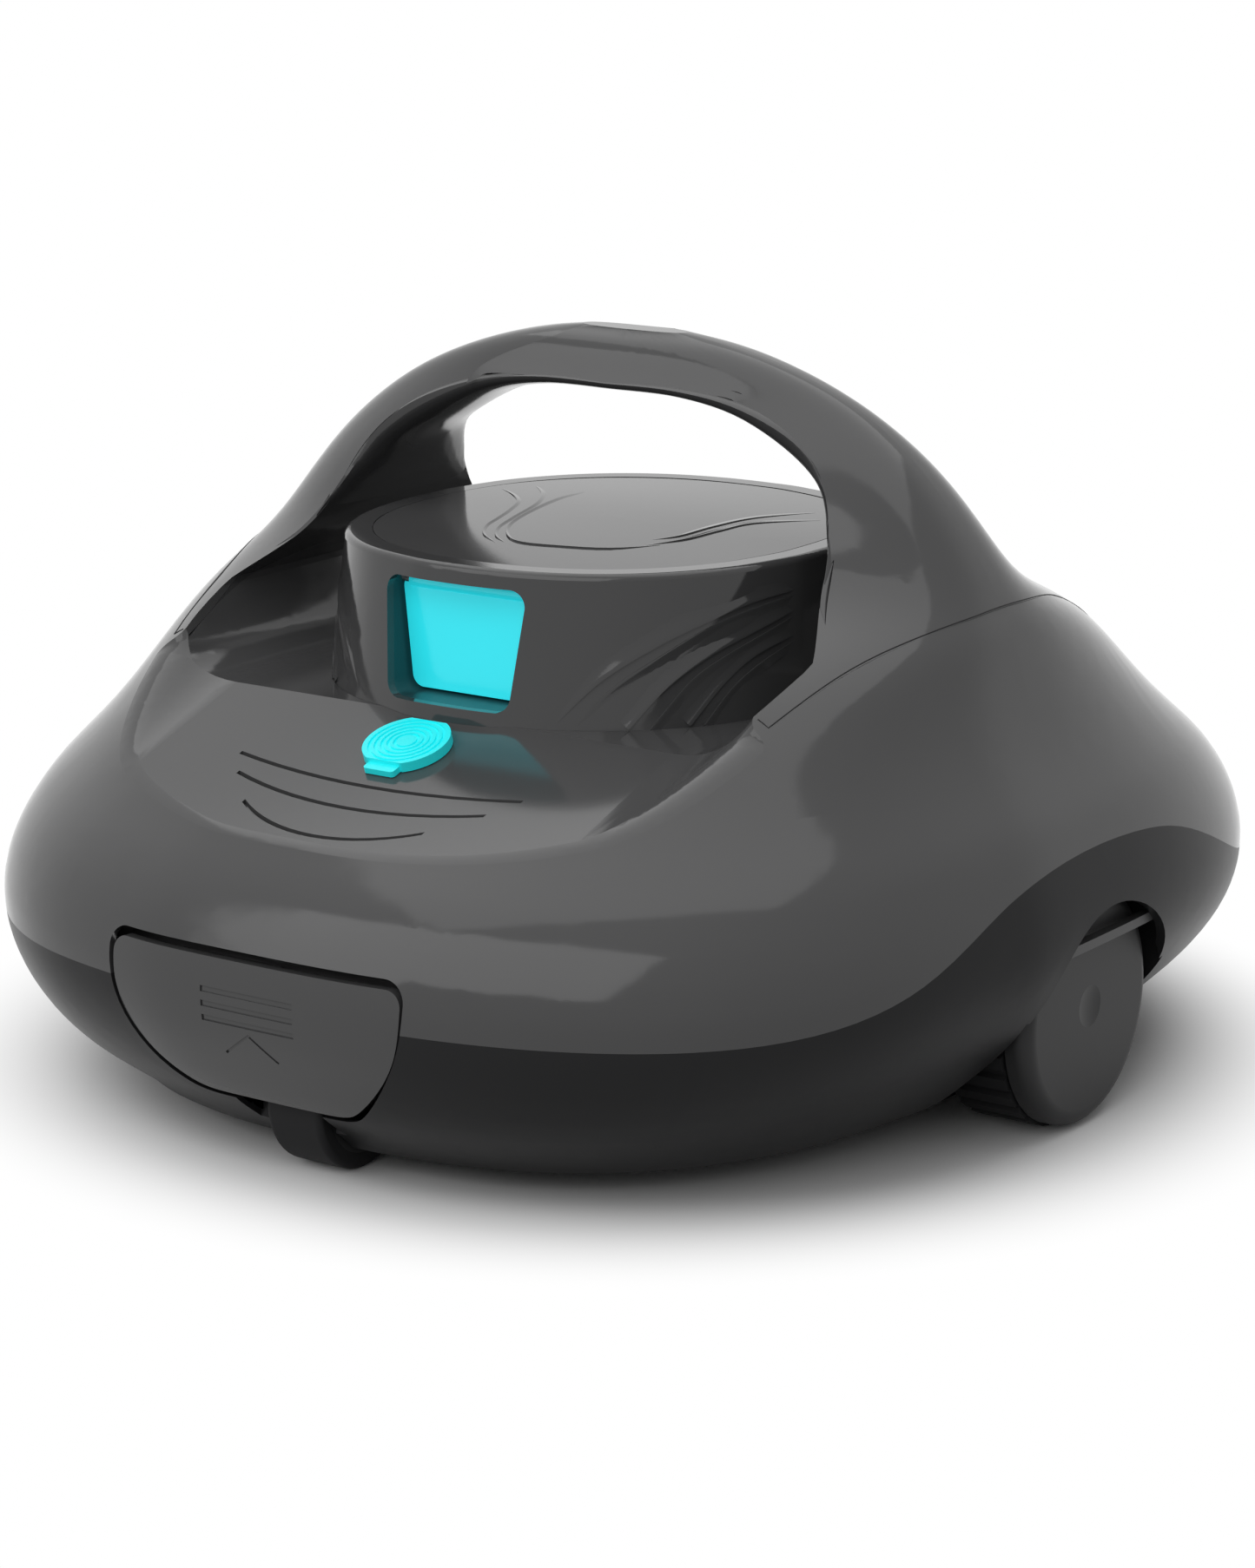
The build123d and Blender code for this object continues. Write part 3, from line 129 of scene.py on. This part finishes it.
# ---------------------------------------------------------------- floor
FLOOR_SIZE = 12
FLOOR_NEAR = 0.155
FLOOR_FAR = 0.23
FLOOR_BOUNCE = (0.22, 0.22, 0.22, 1)
FLOOR_SEEN = (0.9, 0.9, 0.9, 1)
FLOOR_ROUGHNESS = 0.9


def add_floor():
    """White ground that fades into the white behind it and keeps the shadow."""
    bpy.ops.mesh.primitive_plane_add(size=FLOOR_SIZE, location=(0, 0, 0))
    floor = bpy.context.object
    floor.name = "studio_floor"
    finish = bpy.data.materials.new("studio_floor")
    finish.use_nodes = True
    nodes, links = finish.node_tree.nodes, finish.node_tree.links
    surface = nodes["Principled BSDF"]
    seen = seen_rays(nodes, links)
    tone = nodes.new("ShaderNodeMix")
    tone.data_type = "RGBA"
    tone.inputs["A"].default_value = FLOOR_BOUNCE
    tone.inputs["B"].default_value = FLOOR_SEEN
    links.new(seen, tone.inputs["Factor"])
    links.new(tone.outputs["Result"], surface.inputs["Base Color"])
    surface.inputs["Roughness"].default_value = FLOOR_ROUGHNESS
    surface.inputs["Specular IOR Level"].default_value = 0.0
    glow = nodes.new("ShaderNodeEmission")
    glow.inputs["Color"].default_value = WHITE
    glow.inputs["Strength"].default_value = 1.0
    far = nodes.new("ShaderNodeMixShader")
    where = nodes.new("ShaderNodeTexCoord")
    length = nodes.new("ShaderNodeVectorMath")
    length.operation = "LENGTH"
    fade = nodes.new("ShaderNodeMapRange")
    fade.interpolation_type = "SMOOTHSTEP"
    fade.inputs["From Min"].default_value = FLOOR_NEAR
    fade.inputs["From Max"].default_value = FLOOR_FAR
    seen_far = nodes.new("ShaderNodeMath")
    seen_far.operation = "MULTIPLY"
    links.new(where.outputs["Object"], length.inputs[0])
    links.new(length.outputs["Value"], fade.inputs["Value"])
    links.new(fade.outputs["Result"], seen_far.inputs[0])
    links.new(seen, seen_far.inputs[1])
    links.new(seen_far.outputs[0], far.inputs[0])
    links.new(surface.outputs[0], far.inputs[1])
    links.new(glow.outputs[0], far.inputs[2])
    links.new(far.outputs[0], nodes["Material Output"].inputs[0])
    floor.data.materials.append(finish)


add_floor()


# ---------------------------------------------------------------- finishes
CLOUD_SCALE = 9.0         # blotches over which tone and gloss drift
CLOUD_DETAIL = 3.0
CLOUD_RANGE = (0.3, 0.7)
GRAIN_DETAIL = 2.0
GRAIN_DISTANCE = 0.0004
GLOSS_DRIFT = 0.08


def plastic(name, colour, roughness, gloss=0.4, grain=2400.0, depth=0.02, drift=0.05):
    """Moulded plastic: a fine spark-eroded grain and a slight drift of tone."""
    finish = bpy.data.materials.new(name)
    finish.use_nodes = True
    nodes, links = finish.node_tree.nodes, finish.node_tree.links
    surface = nodes["Principled BSDF"]
    where = nodes.new("ShaderNodeTexCoord")
    cloud = nodes.new("ShaderNodeTexNoise")
    cloud.inputs["Scale"].default_value = CLOUD_SCALE
    cloud.inputs["Detail"].default_value = CLOUD_DETAIL
    links.new(where.outputs["Object"], cloud.inputs["Vector"])
    tone = nodes.new("ShaderNodeValToRGB")
    for stop, place, share in zip(tone.color_ramp.elements, CLOUD_RANGE, (1 - drift, 1 + drift)):
        stop.position = place
        stop.color = (*[c * share for c in colour], 1)
    links.new(cloud.outputs["Fac"], tone.inputs["Fac"])
    links.new(tone.outputs["Color"], surface.inputs["Base Color"])
    speckle = nodes.new("ShaderNodeTexNoise")
    speckle.inputs["Scale"].default_value = grain
    speckle.inputs["Detail"].default_value = GRAIN_DETAIL
    links.new(where.outputs["Object"], speckle.inputs["Vector"])
    bump = nodes.new("ShaderNodeBump")
    bump.inputs["Strength"].default_value = depth
    bump.inputs["Distance"].default_value = GRAIN_DISTANCE
    links.new(speckle.outputs["Fac"], bump.inputs["Height"])
    links.new(bump.outputs["Normal"], surface.inputs["Normal"])
    wear = nodes.new("ShaderNodeMapRange")
    wear.inputs["To Min"].default_value = roughness * (1 - GLOSS_DRIFT)
    wear.inputs["To Max"].default_value = roughness * (1 + GLOSS_DRIFT)
    links.new(cloud.outputs["Fac"], wear.inputs["Value"])
    links.new(wear.outputs["Result"], surface.inputs["Roughness"])
    surface.inputs["Specular IOR Level"].default_value = gloss
    return finish


# Colour, roughness and, where it is duller than usual, gloss or drift of tone
PLASTICS = {
    "shell_grey": dict(colour=(0.068, 0.068, 0.069), roughness=0.1),
    "handle_trim": dict(colour=(0.05, 0.05, 0.051), roughness=0.12),
    "base_grey": dict(colour=(0.022, 0.022, 0.023), roughness=0.32, gloss=0.12),
    "tower_grey": dict(colour=(0.062, 0.062, 0.063), roughness=0.07),
    "lid_grey": dict(colour=(0.07, 0.07, 0.071), roughness=0.08, gloss=0.18),
    "duct_teal": dict(colour=(0.02, 0.05, 0.055), roughness=0.35),
    "cyan_flap": dict(colour=(0.03, 0.86, 0.98), roughness=0.16, drift=0.02),
    "cyan_rubber": dict(colour=(0.02, 0.95, 0.98), roughness=0.4, drift=0.02),
    "inner_plastic": dict(colour=(0.05, 0.05, 0.051), roughness=0.45),
    "filter_plastic": dict(colour=(0.08, 0.08, 0.081), roughness=0.45),
    "filter_net": dict(colour=(0.2, 0.2, 0.2), roughness=0.7),
    "flap_rubber": dict(colour=(0.03, 0.03, 0.03), roughness=0.65),
    "button_plastic": dict(colour=(0.6, 0.6, 0.6), roughness=0.35),
    "tread_rubber": dict(colour=(0.016, 0.016, 0.017), roughness=0.6, gloss=0.2),
    "wheel_plastic": dict(colour=(0.036, 0.036, 0.037), roughness=0.45, gloss=0.25),
    "steel": dict(colour=(0.6, 0.6, 0.6), roughness=0.3),
    "motor_can": dict(colour=(0.3, 0.3, 0.3), roughness=0.35),
    "cell_wrap": dict(colour=(0.05, 0.2, 0.4), roughness=0.35),
    "board_green": dict(colour=(0.02, 0.15, 0.06), roughness=0.4),
    "contact_brass": dict(colour=(0.8, 0.6, 0.2), roughness=0.3),
}
FINISHES = {name: plastic(name, **look) for name, look in PLASTICS.items()}
METALS = ("steel", "motor_can", "contact_brass")
for slot in METALS:
    FINISHES[slot].node_tree.nodes["Principled BSDF"].inputs["Metallic"].default_value = 1.0
# Painted glow: the cyan flap and the cyan rubber give off a cyan light of their own, though they are
# no lamps, so they read brighter than the lamps make them
PAINTED_GLOW_COLOUR = (0.03, 0.88, 1.0, 1)
PAINTED_GLOW_STRENGTH = {"cyan_flap": 0.34, "cyan_rubber": 0.08}
for slot, glow in PAINTED_GLOW_STRENGTH.items():
    surface = FINISHES[slot].node_tree.nodes["Principled BSDF"]
    surface.inputs["Emission Color"].default_value = PAINTED_GLOW_COLOUR
    surface.inputs["Emission Strength"].default_value = glow

for row in frame["record"]["subparts"]:
    piece = frame["nodes"][row["node"]]
    piece.data.materials.clear()
    piece.data.materials.append(FINISHES[row["material_slot"]])


# ---------------------------------------------------------------- swept pieces, in millimetres
EDGE_ANGLE = math.radians(38)
MERGE_GAP = 1e-6


def fill_in(rows, count):
    """Rows of numbers along a line, passed through smoothly and filled in to a count."""
    ends = [rows[0]] + rows + [rows[-1]]
    filled = []
    for k in range(count):
        at = k * (len(rows) - 1) / (count - 1)
        start = min(int(at), len(rows) - 2)
        t = at - start
        filled.append([
            0.5 * (2 * b + (c - a) * t + (2 * a - 5 * b + 4 * c - d) * t ** 2
                   + (3 * b - a - 3 * c + d) * t ** 3)
            for a, b, c, d in zip(*ends[start:start + 4])])
    return filled


def swept_piece(name, sweeps, slot_name):
    """One fixed piece made of sweeps, each a list of closed rings of points."""
    points, faces = [], []
    for rings in sweeps:
        first, count = len(points), len(rings[0])
        points += [[c / MM_PER_M for c in point] for ring in rings for point in ring]
        for i in range(len(rings) - 1):
            for j in range(count):
                here, there = first + i * count, first + (i + 1) * count
                turn = (j + 1) % count
                faces.append((here + j, here + turn, there + turn, there + j))
        last = first + (len(rings) - 1) * count
        faces += [tuple(range(first, first + count)), tuple(range(last, last + count))]
    mesh = bpy.data.meshes.new(name)
    mesh.from_pydata(points, [], faces)
    piece = bpy.data.objects.new(name, mesh)
    scene.collection.objects.link(piece)
    bpy.ops.object.select_all(action="DESELECT")
    piece.select_set(True)
    bpy.context.view_layer.objects.active = piece
    bpy.ops.object.mode_set(mode="EDIT")
    bpy.ops.mesh.select_all(action="SELECT")
    bpy.ops.mesh.remove_doubles(threshold=MERGE_GAP)
    bpy.ops.mesh.normals_make_consistent(inside=False)
    bpy.ops.object.mode_set(mode="OBJECT")
    bpy.ops.object.shade_smooth_by_angle(angle=EDGE_ANGLE)
    mesh.materials.append(FINISHES[slot_name])
    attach(piece, "root")


# ---------------------------------------------------------------- rounded underside of the handle
# Across, level, half depth of the handle and swell of its underside, from foot to middle
UNDERSIDE = [
    (93.9, 163, 40.0, 0.0), (92, 168.5, 35.4, 1.4), (90, 174, 31.6, 2.8), (83.5, 188, 23.8, 6.0),
    (70, 199, 19.4, 7.5), (48, 207, 17.3, 5.0), (25, 210, 16.7, 3.4), (0, 210, 16.5, 3.0)]
UNDERSIDE_STEPS = 41
UNDERSIDE_ROOT = 1.2
UNDERSIDE_INSET = 2
ACROSS_STEPS = 16
ROUNDNESS = 0.8


def underside_rings():
    """Rings across the underside, from the left foot over the middle to the right foot."""
    half = fill_in(UNDERSIDE, UNDERSIDE_STEPS)
    line = [(-x, z, depth, swell) for x, z, depth, swell in half] + half[-2::-1]
    rings = []
    for k, (x, z, depth, swell) in enumerate(line):
        before, after = line[max(k - 1, 0)], line[min(k + 1, len(line) - 1)]
        along = Vector((after[0] - before[0], 0, after[1] - before[1])).normalized()
        inward = Vector((along.z, 0, -along.x))
        ring = []
        for j in range(ACROSS_STEPS + 1):
            turn = math.pi * (j / ACROSS_STEPS - 0.5)
            y = depth * math.copysign(abs(math.sin(turn)) ** ROUNDNESS, turn)
            out = swell * max(math.cos(turn), 0) ** ROUNDNESS
            ring.append(Vector((x, y, z)) + inward * out)
        for j in range(ACROSS_STEPS, -1, -1):
            y = (depth - UNDERSIDE_INSET) * (2 * j / ACROSS_STEPS - 1)
            ring.append(Vector((x, y, z)) - inward * UNDERSIDE_ROOT)
        rings.append(ring)
    return rings


swept_piece("handle_underside", [underside_rings()], "handle_trim")


# ---------------------------------------------------------------- joint line of the handle
JOINT_TOP_Z = 153.5
JOINT_DROP = 21.5
JOINT_LIFT = 0.35
JOINT_HALF_Y = 91.7
JOINT_STEPS = 60
JOINT_RADIUS = 0.2
JOINT_SIDES = 6
LEG_TIP_RISE = 12
OUTSIDE_X = 0.3           # metres from the middle, clear of the body


def joint_line(side):
    """Points of the joint on one side: up the rear tip of the leg, along and up the front tip."""
    leg = frame["nodes"]["handle_shell"]
    spots = []
    for k in range(JOINT_STEPS + 1):
        y = JOINT_HALF_Y * (1 - 2 * k / JOINT_STEPS)
        spots.append((y, JOINT_TOP_Z - JOINT_DROP * (y / JOINT_HALF_Y) ** 2 + JOINT_LIFT))
    rise = list(range(1, LEG_TIP_RISE))
    low = spots[0][1]
    spots = ([(JOINT_HALF_Y, low + z) for z in rise[::-1]] + spots
             + [(-JOINT_HALF_Y, low + z) for z in rise])
    line = []
    for y, z in spots:
        start = Vector((side * OUTSIDE_X, y / MM_PER_M, z / MM_PER_M))
        hit, place, *_ = leg.ray_cast(start, Vector((-side, 0, 0)))
        if hit:
            line.append(place * MM_PER_M)
    return line


def cord_rings(line, radius):
    """Rings of a thin round bead along a line."""
    rings = []
    for k, spot in enumerate(line):
        along = (line[min(k + 1, len(line) - 1)] - line[max(k - 1, 0)]).normalized()
        over = along.cross(Vector((0, 0, 1))).normalized()
        up = over.cross(along)
        rings.append([spot + over * radius * math.cos(2 * math.pi * j / JOINT_SIDES)
                      + up * radius * math.sin(2 * math.pi * j / JOINT_SIDES)
                      for j in range(JOINT_SIDES)])
    return rings


# Painted shade: a thin near-black bead of tread rubber laid on the joint stands in for the shade in
# the parting line between handle and body
swept_piece("handle_joint_shade_line", [cord_rings(joint_line(side), JOINT_RADIUS) for side in (-1, 1)],
            "tread_rubber")


# ---------------------------------------------------------------- relief of the tower and lid
TOWER_MID_Y = -11.0
TOWER_FOOT = (118.0, 81.0, 89.0)
TOWER_HEAD = (167.0, 77.0, 83.5)
TOWER_POWER = 2.25
LID_CROWN_Z = 168.0
LID_CROWN_RADIUS = 2470.0
RELIEF_ROOT = 0.4
RELIEF_STEPS = 34
RELIEF_FALL = 1.8
RELIEF_SHARES = (0.12, 0.25, 0.45, 0.7)
LIP_SHOULDER = 0.75
LIP_SINK = 0.1


def tower_half(z):
    """Half width and half length of the tower at one level."""
    share = (z - TOWER_FOOT[0]) / (TOWER_HEAD[0] - TOWER_FOOT[0])
    return (TOWER_FOOT[1] + (TOWER_HEAD[1] - TOWER_FOOT[1]) * share,
            TOWER_FOOT[2] + (TOWER_HEAD[2] - TOWER_FOOT[2]) * share)


def on_tower(point):
    """The nearest place on the tower's wall at the same level, and the way out of it."""
    half_x, half_y = tower_half(point.z)
    x, y = point.x / half_x, (point.y - TOWER_MID_Y) / half_y
    size = (abs(x) ** TOWER_POWER + abs(y) ** TOWER_POWER) ** (1 / TOWER_POWER)
    x, y = x / size, y / size
    out = Vector((math.copysign(abs(x) ** (TOWER_POWER - 1), x) / half_x,
                  math.copysign(abs(y) ** (TOWER_POWER - 1), y) / half_y, 0)).normalized()
    return Vector((x * half_x, TOWER_MID_Y + y * half_y, point.z)), out


def on_lid(point):
    """The place on the crowned lid above or below a point, and the way out of it."""
    reach = point.x ** 2 + (point.y - TOWER_MID_Y) ** 2
    return Vector((point.x, point.y, LID_CROWN_Z - reach / (2 * LID_CROWN_RADIUS))), Vector((0, 0, 1))


def lip_rings(line, settle, side):
    """A lip with a steep edge on the line and a long fall to one side of it.
    Each row of the line is a point, the lip's width and its height."""
    rows = fill_in(line, RELIEF_STEPS)
    spots = [settle(Vector(row[:3])) for row in rows]
    rings = []
    for k, row in enumerate(rows):
        spot, out = spots[k]
        along = (spots[min(k + 1, len(rows) - 1)][0] - spots[max(k - 1, 0)][0]).normalized()
        across = along.cross(out).normalized() * side
        width, height = row[3], max(row[4], 0.0)
        ring = [spot - out * RELIEF_ROOT, spot + out * (height * LIP_SHOULDER)]
        for share in RELIEF_SHARES:
            place, way = settle(spot + across * (width * share))
            rise = (height + LIP_SINK) * (1 - share) ** RELIEF_FALL - LIP_SINK
            ring.append(place + way * rise)
        place, way = settle(spot + across * width)
        ring += [place - way * LIP_SINK, place - way * RELIEF_ROOT]
        rings.append(ring)
    return rings


# Side views of the flutes: along Y and up, then the lip's width and height
FLUTE_EDGES = [
    (1, [(-92.6, 123.6, 2.5, 0.02), (-84.8, 136.6, 5.5, 0.65), (-72.3, 146.7, 7, 0.75),
         (-57, 153.1, 6, 0.6), (-41.9, 156.5, 4, 0.4), (-19.1, 157.5, 2, 0.02)]),
    (-1, [(-89.8, 123.6, 2, 0.02), (-83.3, 134.6, 4, 0.4), (-72, 143.9, 4, 0.45),
          (-58.2, 151.2, 4, 0.4), (-41.9, 154.9, 3, 0.3), (-19.1, 156.5, 2, 0.02)]),
    (1, [(-81.3, 122.3, 5, 0.7), (-72.8, 133.3, 5.5, 0.75), (-61, 141.8, 5, 0.7),
         (-45.3, 147.5, 4, 0.5), (-25.2, 152.3, 2, 0.02)]),
    (-1, [(-76.9, 122.3, 4, 0.45), (-66.3, 135.3, 4, 0.45), (-55.8, 141.7, 4, 0.4),
          (-44, 146.0, 3, 0.3), (-25.2, 151.2, 2, 0.02)]),
    (1, [(-67.5, 122.3, 4.5, 0.7), (-57, 133.6, 4.5, 0.7), (-45.5, 140.6, 4, 0.5),
         (-28.1, 144.6, 2, 0.02)]),
    (-1, [(-63.6, 122.3, 4, 0.45), (-53.9, 132.6, 4, 0.45), (-42.8, 138.7, 3, 0.3),
          (-28.1, 143.2, 2, 0.02)])]


def flute_line(edge):
    """A flute's edge laid on the right wall of the tower."""
    line = []
    for y, z, width, height in edge:
        half_x, half_y = tower_half(z)
        x = half_x * (1 - abs((y - TOWER_MID_Y) / half_y) ** TOWER_POWER) ** (1 / TOWER_POWER)
        line.append((x, y, z, width, height))
    return line


def mirrored(rings, side_x, side_y):
    """The rings on another flank of the tower, across its middle planes."""
    return [[Vector((p.x * side_x, TOWER_MID_Y + (p.y - TOWER_MID_Y) * side_y, p.z)) for p in ring]
            for ring in rings]


flutes = [lip_rings(flute_line(edge), on_tower, -side) for side, edge in FLUTE_EDGES]
for corner, side_x, side_y in (("front_right", 1, 1), ("front_left", -1, 1),
                               ("rear_right", 1, -1), ("rear_left", -1, -1)):
    swept_piece("tower_flutes_" + corner, [mirrored(rings, side_x, side_y) for rings in flutes],
                "tower_grey")

# Swirls on the lid: across and along, then the lip's width and height
LID_SWIRLS = [
    [(-60, 12, 2.4, 0.02), (-50, 4, 2.4, 0.3), (-41, -6, 2.2, 0.45), (-34, -20.6, 2.0, 0.5),
     (-29.5, -32, 1.6, 0.55), (-25, -44, 1.5, 0.55), (-18, -54.5, 1.4, 0.5), (-8, -62, 1.0, 0.02)],
    [(-54, 22, 2.6, 0.02), (-44, 11, 2.6, 0.35), (-34, -6, 2.2, 0.5), (-26, -29, 1.8, 0.55),
     (-20.4, -44, 1.5, 0.55), (-13.4, -54.6, 1.4, 0.5), (-6, -60.2, 1.0, 0.02)],
    [(-35, 21, 5, 0.02), (-34, 5, 3.5, 0.35), (-27, -20.6, 2, 0.5), (-19.6, -39.7, 1.5, 0.6),
     (-9.9, -53.2, 1.5, 0.6), (-0.9, -58.5, 1.6, 0.6), (10.7, -57, 2, 0.55),
     (25.7, -51.5, 2, 0.5), (35.3, -38.3, 2, 0.02)],
    [(32, -40.5, 1.8, 0.02), (37, -27, 3, 0.5), (38, -9.8, 4, 0.45), (39.7, 6.7, 5, 0.35),
     (52, 24, 6, 0.02)],
    [(29, -33, 1.6, 0.02), (32.8, -23.8, 2.5, 0.45), (32.9, -5.2, 4, 0.4), (35, 14.2, 5, 0.3),
     (44, 33.7, 6, 0.02)]]
swirls = [lip_rings([(x, y, 0, width, height) for x, y, width, height in swirl], on_lid, -1)
          for swirl in LID_SWIRLS]
swept_piece("lid_swirls", swirls, "lid_grey")
